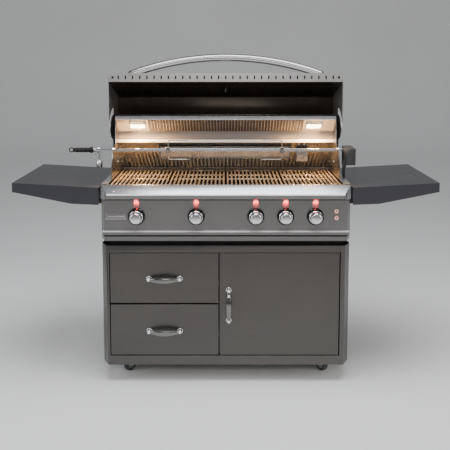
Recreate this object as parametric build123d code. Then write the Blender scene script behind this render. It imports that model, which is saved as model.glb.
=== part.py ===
"""Gas barbecue grill: cart, firebox, hood, burners, spit, shelves and casters.

X runs left to right, Y runs front to back, Z is up and the floor is Z = 0.
Shapes are drawn with Y = 0 on the control panel's face, then moved so that
the whole grill is centred on the origin. Lengths are millimetres.
"""
from build123d import *
from math import atan2, cos, hypot, radians, sin
import os

# ---- driving dimensions ----
MID_Y = 260.0             # middle of the grill behind the panel face
SKIN = 2.0                # sheet thickness
BODY_HALF = 580.0         # half width of cart and firebox behind the corners
CART_HALF = 551.0         # half width of the cart's face
PANEL_HALF = 560.0        # half width of the control panel's face
CART_CORNER = 58.0        # depth of the cart's angled corners
PANEL_CORNER = 52.0       # depth of the panel's angled corners
BACK = 545.0              # back of the cart and firebox
CART_LOW, CART_TOP = 86.0, 657.0
SILL_LOW, SILL_TOP = 680.0, 701.0
FLOOR_LOW = 100.0
FACE_DEEP = 18.0          # depth of the cart's face frame
OPEN_LEFT, OPEN_RIGHT = -540.0, 532.0
OPEN_LOW, OPEN_TOP = 130.0, 624.0
DIVIDER_X = -30.5
DRAWER_X = (-537.0, -34.0)
DOOR_X = (-27.0, 527.0)
LOWER_Z = (133.5, 376.5)
UPPER_Z = (383.5, 621.0)
DOOR_PIN = (521.0, 9.0)   # X and Y of the door's hinge axis
PIN_PLAY = 0.05           # radial play of every hinge pin
PANEL_LOW, PANEL_TOP = 727.0, 870.0
LIP_LOW, LIP_OUT = 713.0, 25.0
RIM_TOP = 935.0
TUB_HALF, TUB_FRONT, TUB_BACK = 548.0, 40.0, 520.0
KNOB_Z = 794.0
KNOB_XS = (-410.0, -136.0, 138.0, 275.0, 412.0)
BURNER_XS = (-410.0, -136.0, 138.0, 412.0)
BURNER_Z = 800.0
BUTTON_X, BUTTON_ZS = 508.0, (819.0, 788.0)
KNOB_R, BEZEL_R, KNOB_OUT = 31.0, 40.0, 50.0
STEM_R = 4.0
INLET_R = 7.9             # gas inlet nipple
INLET_X, INLET_Z, INLET_END = 500.0, 726.0, 568.0
PULL_HALF, PULL_OUT, PULL_WIDE, PULL_FOOT = 72.0, 40.0, 24.0, 10.0
GRATE_WIDE, BAR_PITCH, BARS = 271.6, 19.4, 14
GRATE_Y = (45.0, 510.0)
BAR_R = 4.6
CROSS_YS = (50.0, 247.0, 360.0, 505.0)
HOOD_HALF = 573.0
PIVOT_Y, PIVOT_Z = 392.0, 1088.0
HOOD_LOW, HOOD_TOP, HOOD_BACK = 950.0, 1265.0, 502.0
ROD_Y, ROD_Z, ROD_SIDE, TINE_OUT = 230.0, 1072.0, 12.0, 47.0
HANDLE_HALF, HANDLE_OUT, HANDLE_R = 475.0, 104.0, 18.5
CANOPY_HALF = 544.0
SHELF_IN, SHELF_OUT = 583.0, 979.0
SHELF_FRONT, SHELF_BACK = 0.0, 565.0
SHELF_TOP_IN, SHELF_TOP_OUT = 928.0, 950.0
SHELF_PIN = (597.0, 845.0)  # X and Z of the fold axis
CASTER_X, CASTER_YS = 480.0, (112.0, 468.0)
WHEEL_R, WHEEL_WIDE, TRAIL = 39.0, 26.0, 26.0
BRAKE_OUT, BRAKE_Z = 26.0, 78.0   # cross pin of the brake, behind the axle


# ---- small helpers ----
def box(x0, x1, y0, y1, z0, z1):
    size = (x1 - x0, y1 - y0, z1 - z0)
    return Pos((x0 + x1) / 2, (y0 + y1) / 2, (z0 + z1) / 2) * Box(*size)


def rod_x(r, x0, x1, y, z):
    return Pos((x0 + x1) / 2, y, z) * Rot(0, 90, 0) * Cylinder(r, x1 - x0)


def rod_y(r, x, y0, y1, z):
    return Pos(x, (y0 + y1) / 2, z) * Rot(90, 0, 0) * Cylinder(r, y1 - y0)


def rod_z(r, x, y, z0, z1):
    return Pos(x, y, (z0 + z1) / 2) * Cylinder(r, z1 - z0)


def prism_x(points, x0, x1):
    face = Plane.YZ.offset(x0) * Polygon(*points, align=None)
    return extrude(face, x1 - x0, dir=(1, 0, 0))


def prism_y(points, y0, y1):
    face = Pos(0, y0, 0) * (Plane.XZ * Polygon(*points, align=None))
    return extrude(face, y1 - y0, dir=(0, 1, 0))


def prism_z(points, z0, z1):
    face = Pos(0, 0, z0) * Polygon(*points, align=None)
    return extrude(face, z1 - z0, dir=(0, 0, 1))


def thick_line(points, t):
    """Outline of an open line of corners thickened by t on its left side."""
    side = []
    for i, (a, b) in enumerate(points):
        dirs = []
        if i > 0:
            dirs.append((a - points[i - 1][0], b - points[i - 1][1]))
        if i < len(points) - 1:
            dirs.append((points[i + 1][0] - a, points[i + 1][1] - b))
        normals = [(-v / hypot(u, v), u / hypot(u, v)) for u, v in dirs]
        nu = sum(n[0] for n in normals) / len(normals)
        nv = sum(n[1] for n in normals) / len(normals)
        scale = t / (nu * nu + nv * nv)
        side.append((a + nu * scale, b + nv * scale))
    return list(points) + side[::-1]


def sheet_x(points, x0, x1, t=SKIN):
    return prism_x(thick_line(points, t), x0, x1)


def mirrored(shape):
    return mirror(shape, about=Plane.YZ)


def plan(half, back_half, corner, y0, y1):
    """Plan outline of a body with angled front corners."""
    return [(-half, y0), (half, y0), (back_half, y0 + corner), (back_half, y1),
            (-back_half, y1), (-back_half, y0 + corner)]


def group(parts):
    return Compound(children=[p if isinstance(p, Solid) else p.solid() for p in parts])


def one(shape):
    """The single solid of a shape."""
    found = shape.solids()
    assert len(found) == 1, len(found)
    return found[0]


def to_open(shape):
    """A hood piece drawn closed, swung back to the open pose."""
    axis = Axis((0, PIVOT_Y, PIVOT_Z), (1, 0, 0))
    return shape.rotate(axis, -90)


nodes = {}


# ---- cart ----
def cart_face_frame():
    outline = plan(CART_HALF, BODY_HALF, CART_CORNER, 0, 76)
    inner = plan(CART_HALF - 2, BODY_HALF - 3, CART_CORNER - 1, FACE_DEEP, 90)
    body = prism_z(outline, CART_LOW, CART_TOP) - prism_z(inner, 0, 900)
    body -= box(OPEN_LEFT, OPEN_RIGHT, -10, 40, OPEN_LOW, OPEN_TOP)
    back = plan(CART_HALF - 18, BODY_HALF - 18, CART_CORNER, 16, BACK - 16)
    hole = plan(CART_HALF - 22, BODY_HALF - 22, CART_CORNER, 20, BACK - 20)
    neck = prism_z(back, CART_TOP - 3, LIP_LOW) - prism_z(hole, 0, 900)
    ring = prism_z(plan(PANEL_HALF - 2, BODY_HALF, CART_CORNER, -2, BACK), SILL_LOW, SILL_TOP)
    ring -= prism_z(hole, 0, 900)
    cap = prism_z(outline, CART_TOP - 3, CART_TOP)
    cap -= prism_z(hole, 0, 900)
    body += rod_z(4, *DOOR_PIN, OPEN_LOW - 2, OPEN_LOW + 14)
    body += rod_z(4, *DOOR_PIN, OPEN_TOP - 14, OPEN_TOP + 2)
    for x in (-274, 250):
        ring += box(x, x + 24, 18, BACK - 18, 706, LIP_LOW)
    return one(body + neck + ring + cap)


def cart_carcass():
    top = CART_TOP - 4
    low = FLOOR_LOW
    left = box(-BODY_HALF, -BODY_HALF + SKIN, 77, BACK, CART_LOW, top)
    right = box(BODY_HALF - SKIN, BODY_HALF, 77, BACK, CART_LOW, top)
    back = box(-BODY_HALF, BODY_HALF, BACK - SKIN, BACK, CART_LOW, top)
    floor = box(-BODY_HALF, BODY_HALF, 77, BACK, low, low + 3)
    floor += box(OPEN_LEFT, OPEN_RIGHT, FACE_DEEP + 4, 78, low, low + 3)
    wall = box(DIVIDER_X - 1.5, DIVIDER_X + 1.5, FACE_DEEP + 4, BACK, low, top)
    brace = box(-BODY_HALF, BODY_HALF, BACK - 60, BACK, top - 3, top)
    body = left + right + back + floor + wall + brace
    slots = [box(x, x + 110, BACK - 9, BACK + 9, z, z + 8)
             for x in (-420, -170, 90, 330) for z in (170, 190, 210)]
    for slot in slots:
        body -= slot
    return one(body)


def drawer(z0, z1):
    x0, x1 = DRAWER_X
    front = box(x0, x1, 2, 20, z0, z1)
    front -= box(x0 + 3, x1 - 3, 4, 18, z0 + 3, z1 - 3)
    front -= box(x0 + 100, x1 - 100, 8, 14, z0 - 1, z0 + 4)
    left, right, low = x0 + 18, x1 - 18, z0 + 16
    high = z1 - 44
    tub = box(left, right, 19, 470, low, high)
    tub -= box(left + SKIN, right - SKIN, 21, 468, low + SKIN, high + 5)
    runners = box(left - 5, left + 1, 40, 465, low + 40, low + 60)
    runners += box(right - 1, right + 5, 40, 465, low + 40, low + 60)
    return one(front + tub + runners)


def drawer_rails():
    rails = []
    for z0 in (LOWER_Z[0], UPPER_Z[0]):
        low = z0 + 16
        for x, side in ((DRAWER_X[0] + 12.4, -1), (DRAWER_X[1] - 12.4, 1)):
            outer = -BODY_HALF + SKIN + 0.5 if side < 0 else DIVIDER_X - 2
            near = x - 0.4 if side < 0 else x + 0.4
            rail = box(min(outer, near), max(outer, near), 80, 500, low + 38, low + 62)
            rails.append(one(rail))
    return group(rails)


def bow_pull():
    """Arched pull along X: a curved plate, widest at its middle, on two round feet."""
    half = PULL_HALF
    out, back, thick = -PULL_OUT, -16.0, 7.0
    arch = [Vector(-half, back), Vector(0, out), Vector(half, back)]
    rise = Vector(0, thick)
    rim = ThreePointArc(*arch) + Line(arch[2], arch[2] + rise)
    rim += ThreePointArc(*[p + rise for p in arch[::-1]]) + Line(arch[0] + rise, arch[0])
    plate = extrude(make_face(rim), PULL_WIDE, both=True)
    ends = [Vector(-half, 5.5), Vector(0, PULL_WIDE / 2), Vector(half, 5.5)]
    under = [Vector(p.X, -p.Y) for p in ends[::-1]]
    leaf = ThreePointArc(*ends) + Line(ends[2], under[0])
    leaf += ThreePointArc(*under) + Line(under[2], ends[0])
    plate &= extrude(Plane.XZ * make_face(leaf), 60, both=True)
    for x in (-half, half):
        plate += rod_y(PULL_FOOT, x, -15, 0, 0) + Pos(x, -15, 0) * Sphere(PULL_FOOT)
        plate += rod_y(PULL_FOOT + 3, x, -4, 0, 0)
    return one(plate)


def door():
    x0, x1 = DOOR_X
    z0, z1 = LOWER_Z[0], UPPER_Z[1]
    panel = box(x0, x1, 2, 20, z0, z1)
    panel -= box(x0 + 13, x1 - 13, 4, 30, z0 + 13, z1 - 13)
    hole = 4 + PIN_PLAY
    panel -= rod_z(hole, *DOOR_PIN, z0 - 1, OPEN_LOW + 15)
    panel -= rod_z(hole, *DOOR_PIN, OPEN_TOP - 15, z1 + 1)
    return one(panel)


# ---- firebox, rim and panel ----
def firebox():
    inner_y = (TUB_FRONT, TUB_BACK)
    half = TUB_HALF
    left = box(-half - SKIN, -half, inner_y[0], inner_y[1], 750, RIM_TOP + 1)
    body = left + mirrored(left)
    front = [(TUB_FRONT, RIM_TOP + 1), (TUB_FRONT, 778), (225, 742)]
    body += sheet_x(front, -half - 1, half + 1, -SKIN)
    rear = [(335, 742), (TUB_BACK, 778), (TUB_BACK, RIM_TOP + 1)]
    body += sheet_x(rear, -half - 1, half + 1, -SKIN)
    for side in (-1, 1):
        x = side * half
        lower = box(min(x, x + side * SKIN), max(x, x + side * SKIN), 220, 340, 738, 751)
        body += lower
    body += box(-half, half, TUB_FRONT - 1, TUB_FRONT + 14, 917, 919.5)
    body += box(-half, half, TUB_BACK - 20, TUB_BACK + 1, 917, 919.5)
    for x0, x1 in ((half, BODY_HALF), (-BODY_HALF, -half)):
        body += box(x0, x1, PANEL_CORNER + 2, BACK, RIM_TOP - 1, RIM_TOP + 1)
    body += box(-BODY_HALF, BODY_HALF, TUB_BACK, BACK, RIM_TOP - 1, RIM_TOP + 1)
    for x in (-BODY_HALF, BODY_HALF - SKIN):
        body += box(x, x + SKIN, PANEL_CORNER + 2, BACK, LIP_LOW + 1, RIM_TOP + 1)
    body += box(-BODY_HALF, BODY_HALF, BACK - SKIN, BACK, LIP_LOW + 30, RIM_TOP + 1)
    body += box(-BODY_HALF, BODY_HALF, BACK - 60, BACK, LIP_LOW + 29, LIP_LOW + 31)
    for x in BURNER_XS:
        body -= rod_y(15, x, TUB_FRONT - 6, TUB_FRONT + 8, BURNER_Z)
    pin_x, pin_z = SHELF_PIN
    for side in (-1, 1):
        for y, aim in ((96, 1), (520, -1)):
            ear = box(BODY_HALF - 1, pin_x + 9, y - 3, y + 3, pin_z - 10, pin_z + 12)
            pin = rod_y(5, pin_x, min(y, y + aim * 14), max(y, y + aim * 14), pin_z)
            both = ear + pin
            body += both if side > 0 else mirrored(both)
    return one(body)


def front_rim():
    def shell(profile, half_top, half_low, y_top, y_low):
        bar = prism_x(profile, -600, 600)
        slope = (half_top - half_low) / (y_top - y_low)
        far, near = y_top + 80, y_low - 40
        outline = [(-(half_low + slope * (near - y_low)), near),
                   (half_low + slope * (near - y_low), near),
                   (half_top, y_top), (half_top, far), (-half_top, far), (-half_top, y_top)]
        return bar & prism_z(outline, 800, 1000)
    outer = [(38, 936), (26, 936), (-27, 904), (-30, 900), (-30, 897), (-26, 895),
             (-26, 880), (0, 872), (30, 872), (38, 880)]
    inner = [(36, 934), (26.5, 934), (-25.5, 902.5), (-27.5, 900), (-24, 896.5),
             (-24, 881.5), (0.3, 874), (29, 874), (36, 881)]
    body = shell(outer, 578, 542, 27, -30)
    body -= shell(inner, 576, 540, 27, -30)
    return one(body)


def control_panel():
    outer = plan(PANEL_HALF, BODY_HALF, PANEL_CORNER, 0, PANEL_CORNER + 1)
    inner = plan(PANEL_HALF - 1.6, BODY_HALF - 2, PANEL_CORNER, 2, PANEL_CORNER + 20)
    body = prism_z(outer, PANEL_LOW, PANEL_TOP) - prism_z(inner, 600, 900)
    lip = prism_z(plan(PANEL_HALF, PANEL_HALF + 9, 24, -LIP_OUT, 2), LIP_LOW, PANEL_LOW)
    hollow = plan(PANEL_HALF - 2, PANEL_HALF + 7, 24, -LIP_OUT + 2, 6)
    lip -= prism_z(hollow, LIP_LOW - 1, PANEL_LOW - 2)
    body += lip
    for x in KNOB_XS:
        body -= rod_y(9, x, -5, 5, KNOB_Z)
    for z in BUTTON_ZS:
        body -= rod_y(8.3, BUTTON_X, -5, 5, z)
    return one(body)


def knob_bezel(x):
    ring = rod_y(BEZEL_R, x, -5, -0.2, KNOB_Z)
    ring += rod_y(BEZEL_R - 3, x, -12, -4, KNOB_Z)
    return one(ring - rod_y(KNOB_R + 1.4, x, -20, -3, KNOB_Z) - rod_y(9, x, -9, 1, KNOB_Z))


def knob(x):
    body = rod_y(KNOB_R, x, -24, -8, KNOB_Z)
    cone = extrude(Pos(x, -23.5, KNOB_Z) * (Plane.XZ * Circle(KNOB_R)), KNOB_OUT - 23.5, taper=9)
    body += cone
    grip = box(x - 4.5, x + 4.5, -KNOB_OUT - 2.5, -30, KNOB_Z - 22, KNOB_Z + 22)
    body += grip
    return one(body - rod_y(STEM_R + PIN_PLAY, x, -44, 0, KNOB_Z))


def gas_valve(x):
    body = box(x - 13, x + 13, 12, 36, KNOB_Z - 12, KNOB_Z + 12)
    body += rod_y(8, x, 4, 13, KNOB_Z)
    if x != KNOB_XS[3]:
        body += rod_y(5, x, 35, 47, BURNER_Z)
    return one(body - rod_y(STEM_R + PIN_PLAY, x, 0, 30, KNOB_Z))


def gas_manifold():
    """Pipe behind the panel, led back under the tub to a threaded nipple."""
    x, y, high, low = INLET_X, 24, KNOB_Z - 20.6, INLET_Z
    pipe = rod_x(8, -440, x, y, high) + Pos(x, y, high) * Sphere(9.5)
    pipe += rod_z(8, x, y, low, high) + Pos(x, y, low) * Sphere(9.5)
    pipe += rod_y(8, x, y, BACK - 6, low) + rod_y(13, x, BACK - 7, BACK + 1, low)
    pipe += rod_y(INLET_R, x, BACK, INLET_END, low)
    return one(pipe)


def button(z):
    body = rod_y(8, BUTTON_X, -5, 14, z)
    body += rod_y(9.6, BUTTON_X, 8, 12, z)
    return one(body)


def led_light(x):
    return one(box(x - 9, x + 9, -20, -8, 869.8, 873.8))


# ---- burners and grates ----
def main_burner(x):
    tube = rod_y(12, x, 49, 480, BURNER_Z) - rod_y(10, x, 40, 478, BURNER_Z)
    for k in range(10):
        y = 90 + k * 42
        tube -= rod_z(1.6, x, y, BURNER_Z, BURNER_Z + 20)
    return one(tube)


def flame_tamer(x):
    line = [(x - 62, 846), (x, 880), (x + 62, 846)]
    return one(prism_y(thick_line(line, SKIN), 56, 498))


def grate(index):
    x_mid = (index - 1.5) * GRATE_WIDE
    first = x_mid - (BARS - 1) / 2 * BAR_PITCH
    low = RIM_TOP - 2 * BAR_R
    body = None
    for k in range(BARS):
        bar = rod_y(BAR_R, first + k * BAR_PITCH, *GRATE_Y, RIM_TOP - BAR_R)
        body = bar if body is None else body + bar
    for y in CROSS_YS:
        body += box(first - 3, first + (BARS - 1) * BAR_PITCH + 3, y - 4, y + 4, low - 5, low + 3)
    return one(body)


def drip_tray():
    low = LIP_LOW + 0.4
    tray = box(-260, 260, 205, 355, low, 737) - box(-258, 258, 207, 353, low + 2, 760)
    tray += box(-40, 40, 354, 540, low, low + 3)
    tray += box(-40, 40, 538, 541, low, 736)
    return one(tray)


# ---- canopy, rear burner, lamps ----
CHEEK = [(146, RIM_TOP + 1.5), (145, 1000), (184, 1064), (270, 1098), (285, 1232),
         (410, 1232), (500, 1172), (524, 1090), (524, RIM_TOP + 1.5)]


def rear_canopy():
    h = CANOPY_HALF
    body = sheet_x([(288, 1215), (285, 1232), (410, 1232), (500, 1172), (524, 1090),
                    (524, RIM_TOP + 1.5)], -h, h, -SKIN)
    vents = [(287, 1216), (380, 1147), (386, 1107), (460, 1107)]
    body += sheet_x(vents, -h, h, SKIN)
    body += box(-h, h, 352, 460, 1103, 1106) + box(-h, h, 352, 354, 1094, 1105)
    body += box(-h, h, 458, 460, 1086, 1106)
    body += box(-h, h, 459, 523, 1086, 1088)
    cheek = prism_x(CHEEK, h - 1, h + 3)
    body += cheek + mirrored(cheek)
    for side in (-1, 1):
        x = side * (h + 1)
        body -= box(x - 6, x + 6, ROD_Y - 10, ROD_Y + 10, ROD_Z, ROD_Z + 60)
        body -= rod_x(10, x - 6, x + 6, ROD_Y, ROD_Z)
        body += rod_x(6, min(x, side * 576), max(x, side * 576), PIVOT_Y, PIVOT_Z)
    for k in range(9):
        x = -320 + k * 80
        body -= Pos(x, 333, 1181) * Rot(-35.7, 0, 0) * Box(9, 60, 20)
    return one(body)


def lamp_lens(x):
    return one(Pos(x, 330.6, 1178.6) * Rot(-35.7, 0, 0) * Box(82, 52, 5))


def rear_burner():
    case = box(-352, 342, 490, 516, 990, 1054) - box(-344, 334, 480, 510, 999, 1045)
    tile = box(-343, 333, 499, 510.5, 1000, 1044)
    return one(case + tile)


def igniter_box():
    return one(box(371, 433, 486, 516, 974, 1045))


# ---- hood, drawn closed ----
def front_line(s, off=0.0):
    """Point on the hood's front at height share s, pushed out by off."""
    t = (80 / 325, 315 / 325)
    return (35 + 80 * s - t[1] * off, HOOD_LOW + 315 * s + t[0] * off)


def hood_side_cut():
    """Curved slot that lets the side pass the spit rod."""
    reach = hypot(ROD_Y - PIVOT_Y, ROD_Z - PIVOT_Z)
    start = atan2(ROD_Z - PIVOT_Z, ROD_Y - PIVOT_Y)
    points_in, points_out = [], []
    for k in range(10):
        a = start - radians(6) + radians(66) * k / 9
        points_in.append((PIVOT_Y + (reach - 17) * cos(a), PIVOT_Z + (reach - 17) * sin(a)))
        points_out.append((PIVOT_Y + (reach + 17) * cos(a), PIVOT_Z + (reach + 17) * sin(a)))
    return points_in + points_out[::-1]


def hood_shell():
    line = [(77, HOOD_LOW), (35, HOOD_LOW), (108, 1237), (118, 1254), (136, HOOD_TOP),
            (HOOD_BACK, HOOD_TOP)]
    body = sheet_x(line, -HOOD_HALF, HOOD_HALF, -SKIN)
    side_line = [(36, HOOD_LOW), (285, HOOD_LOW), (355, 1010), (374, 1066), (410, 1066),
                 (430, 1100), (HOOD_BACK, 1100), (HOOD_BACK, HOOD_TOP - 1), (136, HOOD_TOP - 1),
                 (118.5, 1253), (108.5, 1236.5)]
    side = prism_x(side_line, HOOD_HALF - SKIN, HOOD_HALF)
    side -= prism_x(hood_side_cut(), HOOD_HALF - 5, HOOD_HALF + 5)
    side += rod_x(16, HOOD_HALF - SKIN, HOOD_HALF, PIVOT_Y, PIVOT_Z)
    side -= rod_x(6 + PIN_PLAY, HOOD_HALF - 5, HOOD_HALF + 5, PIVOT_Y, PIVOT_Z)
    body += side + mirrored(side)
    for k in range(31):
        x = (k - 15) * 34.9
        body -= box(x - 3.5, x + 3.5, 47, 64, HOOD_LOW - 5, HOOD_LOW + 5)
    for x in (-551.5, 551.5):
        body -= rod_z(6, x, 56, HOOD_LOW - 5, HOOD_LOW + 5)
    body -= probe_hole()
    return one(to_open(body))


def probe_hole():
    y, z = front_line(0.46)
    return Plane((0, y, z), z_dir=(0, -315 / 325, 80 / 325)) * Cylinder(4.4, 160)


def hood_liner():
    line = [(77.2, HOOD_LOW + 3), (156, 1236), (170, 1250), (HOOD_BACK, 1250)]
    body = sheet_x(line, -HOOD_HALF + 3, HOOD_HALF - 3, -1.5)
    body += box(-HOOD_HALF + 3, HOOD_HALF - 3, HOOD_BACK - 2, HOOD_BACK - 0.5, 1250, 1262)
    body -= probe_hole()
    return one(to_open(body))


def hood_handle():
    """One round bar bowed to a single arc, its domed ends on two short posts."""
    y_foot, z_foot = front_line(0.316)
    aim = Vector(0, -315 / 325, 80 / 325)

    def at(x, off):
        return Vector(x, y_foot, z_foot) + aim * off

    low = HANDLE_R + 0.3
    bow = ThreePointArc(at(-HANDLE_HALF, low), at(0, HANDLE_OUT), at(HANDLE_HALF, low))
    bar = sweep(Plane(bow @ 0, z_dir=bow % 0) * Circle(HANDLE_R), path=bow)
    for x in (-HANDLE_HALF, HANDLE_HALF):
        bar += Pos(*at(x, low)) * Sphere(HANDLE_R)
        bar += Plane(at(x, 0.3), z_dir=aim) * Pos(0, 0, 9) * Cylinder(14, 18)
    return one(to_open(bar))


def thermometer():
    y, z = front_line(0.46, 0.3)
    aim = Vector(0, -315 / 325, 80 / 325)
    at = Plane((0, y, z), z_dir=aim)
    body = at * Pos(0, 0, 9) * Cylinder(40, 18)
    body -= at * Pos(0, 0, 17) * Cylinder(36, 6)
    probe = at * Pos(0, 0, -30) * Cylinder(4, 70)
    return one(to_open(body + probe))


# ---- spit ----
def spit_rod():
    bar = box(-640, 592, ROD_Y - ROD_SIDE / 2, ROD_Y + ROD_SIDE / 2,
              ROD_Z - ROD_SIDE / 2, ROD_Z + ROD_SIDE / 2)
    for x in (-545, 545):
        bar += rod_x(9.2, x - 8, x + 8, ROD_Y, ROD_Z)
    bar += rod_x(10, -646, -634, ROD_Y, ROD_Z)
    return one(bar)


def spit_grip():
    grip = rod_x(12, -745, -646.2, ROD_Y, ROD_Z) + rod_x(15, -662, -650, ROD_Y, ROD_Z)
    ring = Pos(-754, ROD_Y, ROD_Z) * Rot(90, 0, 0) * Torus(10, 2.5)
    return one(grip + ring)


def spit_fork(x, aim):
    hole = ROD_SIDE + 0.6
    hub = box(x - 9, x + 9, ROD_Y - 13, ROD_Y + 13, ROD_Z - 13, ROD_Z + 13)
    hub += box(x - 3, x + 3, ROD_Y - 4, ROD_Y + 4, ROD_Z - TINE_OUT - 3, ROD_Z + TINE_OUT + 3)
    hub += rod_y(4, x, ROD_Y - 42, ROD_Y, ROD_Z) + rod_y(9, x, ROD_Y - 44, ROD_Y - 38, ROD_Z)
    for z in (ROD_Z - TINE_OUT, ROD_Z + TINE_OUT):
        tip = x + aim * 105
        hub += rod_x(2.4, min(x, tip), max(x, tip), ROD_Y, z)
    half = hole / 2
    hub -= box(x - 20, x + 20, ROD_Y - half, ROD_Y + half, ROD_Z - half, ROD_Z + half)
    return one(hub)


def counterweight():
    x = -618
    hub = rod_x(15, x - 9, x + 9, ROD_Y, ROD_Z)
    hub += rod_z(4, x, ROD_Y, ROD_Z - 52, ROD_Z - 8)
    hub += rod_z(15, x, ROD_Y, ROD_Z - 87, ROD_Z - 51)
    half = ROD_SIDE / 2 + 0.3
    hub -= box(x - 20, x + 20, ROD_Y - half, ROD_Y + half, ROD_Z - half, ROD_Z + half)
    return one(hub)


def spit_motor():
    case = box(580, 624, 170, 300, 1005, 1085)
    case -= rod_x(11, 570, 600, ROD_Y, ROD_Z)
    for k in range(11):
        y = 180 + k * 11
        case -= box(622, 630, y, y + 4, 1015, 1062)
    plate = box(576, 580.5, 180, 290, 990, 1085)
    plate -= rod_x(14, 570, 582, ROD_Y, ROD_Z)
    plate += box(576, 579, 200, 270, RIM_TOP + 1.3, 995)
    return one(case + plate)


# ---- shelves ----
def shelf_right():
    x0, x1 = SHELF_IN, SHELF_OUT
    za, zb = SHELF_TOP_IN, SHELF_TOP_OUT
    outline = [(x0, 848), (707, 853), (x1, 908), (x1, zb), (x0, za)]
    y0, y1 = SHELF_FRONT, SHELF_BACK
    inner = [(x0 - 5, 840), (707, 840), (x1 - SKIN, 840), (x1 - SKIN, zb - SKIN - 0.1),
             (x0 - 5, za - SKIN - 0.4)]
    body = prism_y(outline, y0, y1) - prism_y(inner, y0 + SKIN, y1 - SKIN)
    body += box(x0, x0 + SKIN, y0 + 60, y1 - 25, 905, za - 1)
    px, pz = SHELF_PIN
    for ya in (101, 511):
        rib_line = [(px - 8, pz - 7), (px + 8, pz - 7), (px + 80, 870), (px + 80, 931),
                    (px - 8, 927)]
        rib = prism_y(rib_line, ya, ya + 4)
        rib -= rod_y(5 + PIN_PLAY, px, ya - 2, ya + 6, pz)
        body += rib
    return one(body)


# ---- casters ----
def aimed(x, y, turn, shape):
    return Pos(x, y, 0) * Rot(0, 0, turn) * shape


def caster_fork():
    """Fork in its own frame: king pin on Z, wheel behind it along +X."""
    body = rod_z(24, 0, 0, 90, 96) + rod_z(10, 0, 0, 95, FLOOR_LOW - 0.4)
    body += box(-24, TRAIL + 32, -17.5, 17.5, 84, 91)
    for y in (-17.5, 15):
        leg = [(-10, 91), (TRAIL + 14, 91), (TRAIL + 9, 30), (TRAIL - 9, 30)]
        body += prism_y(leg, y, y + 2.5)
        body += box(TRAIL + 20, TRAIL + 32, y, y + 2.5, 73, 85)
    axle = rod_y(4, TRAIL, -18, 18, WHEEL_R)
    body += rod_y(2.5, TRAIL + BRAKE_OUT, -16, 16, BRAKE_Z)
    return one(body + axle)


def caster_wheel():
    tread = rod_y(WHEEL_R, TRAIL, -WHEEL_WIDE / 2, WHEEL_WIDE / 2, WHEEL_R)
    tread = fillet(tread.edges().filter_by(GeomType.CIRCLE), 5)
    return one(tread - rod_y(4 + PIN_PLAY, TRAIL, -30, 30, WHEEL_R))


def brake_lever():
    """Pedal behind the wheel, turning on a cross pin of the fork."""
    pedal = rod_y(5, TRAIL + BRAKE_OUT, -14, 14, BRAKE_Z)
    pedal += box(TRAIL + BRAKE_OUT, TRAIL + 56, -13, 13, BRAKE_Z - 1, BRAKE_Z + 2)
    return one(pedal - rod_y(2.5 + PIN_PLAY, TRAIL + BRAKE_OUT, -20, 20, BRAKE_Z))


# ---- every node of the grill ----
PULL_X, UPPER_PULL_Z, LOWER_PULL_Z = -285.0, 500.0, 250.0
DOOR_PULL_X, DOOR_PULL_Z = 14.0, 373.5
nodes["cart_face_frame"] = cart_face_frame()
nodes["cart_carcass"] = cart_carcass()
nodes["drawer_rails"] = drawer_rails()
nodes["upper_drawer"] = drawer(*UPPER_Z)
nodes["lower_drawer"] = drawer(*LOWER_Z)
for name, z in (("upper_pull", UPPER_PULL_Z), ("lower_pull", LOWER_PULL_Z)):
    nodes[name] = one(Pos(PULL_X, 1.9, z) * bow_pull())
nodes["door"] = door()
nodes["door_pull"] = one(Pos(DOOR_PULL_X, 1.9, DOOR_PULL_Z) * Rot(0, 90, 0) * bow_pull())
nodes["firebox"] = firebox()
nodes["front_rim"] = front_rim()
nodes["control_panel"] = control_panel()
nodes["badge_plate"] = one(box(-555, -456, -2.2, -0.2, 778, 814))
nodes["knob_bezels"] = group([knob_bezel(x) for x in KNOB_XS])
nodes["gas_valves"] = group([gas_valve(x) for x in KNOB_XS])
nodes["gas_manifold"] = gas_manifold()
nodes["led_lights"] = group([led_light(x) for x in KNOB_XS])
for i, x in enumerate(KNOB_XS):
    nodes[f"knob_{i + 1}"] = knob(x)
    nodes[f"stem_{i + 1}"] = one(rod_y(STEM_R, x, -39, 28, KNOB_Z))
nodes["power_button"] = button(BUTTON_ZS[0])
nodes["light_button"] = button(BUTTON_ZS[1])
nodes["main_burners"] = group([main_burner(x) for x in BURNER_XS])
nodes["flame_tamers"] = group([flame_tamer(x) for x in BURNER_XS])
for i in range(4):
    nodes[f"grate_{i + 1}"] = grate(i)
nodes["drip_tray"] = drip_tray()
nodes["rear_canopy"] = rear_canopy()
nodes["rear_burner"] = group([rear_burner(), igniter_box()])
nodes["lamp_lenses"] = group([lamp_lens(-441), lamp_lens(441)])
nodes["hood_shell"] = hood_shell()
nodes["hood_liner"] = hood_liner()
nodes["hood_handle"] = hood_handle()
nodes["thermometer"] = thermometer()
nodes["spit_rod"] = spit_rod()
nodes["spit_grip"] = spit_grip()
nodes["spit_fork_left"] = spit_fork(-281, 1)
nodes["spit_fork_right"] = spit_fork(274, -1)
nodes["counterweight"] = counterweight()
nodes["spit_motor"] = spit_motor()
nodes["shelf_right"] = shelf_right()
nodes["shelf_left"] = one(mirrored(shelf_right()))
front_y, rear_y = CASTER_YS
rear_forks = []
for side, x, turn in (("left", -CASTER_X, 60), ("right", CASTER_X, 120)):
    nodes[f"caster_fork_{side}"] = one(aimed(x, front_y, turn, caster_fork()))
    nodes[f"front_wheel_{side}"] = one(aimed(x, front_y, turn, caster_wheel()))
    nodes[f"brake_{side}"] = one(aimed(x, front_y, turn, brake_lever()))
    nodes[f"rear_wheel_{side}"] = one(aimed(x, rear_y, 90, caster_wheel()))
    rear_forks.append(one(aimed(x, rear_y, 90, caster_fork())))
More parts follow.
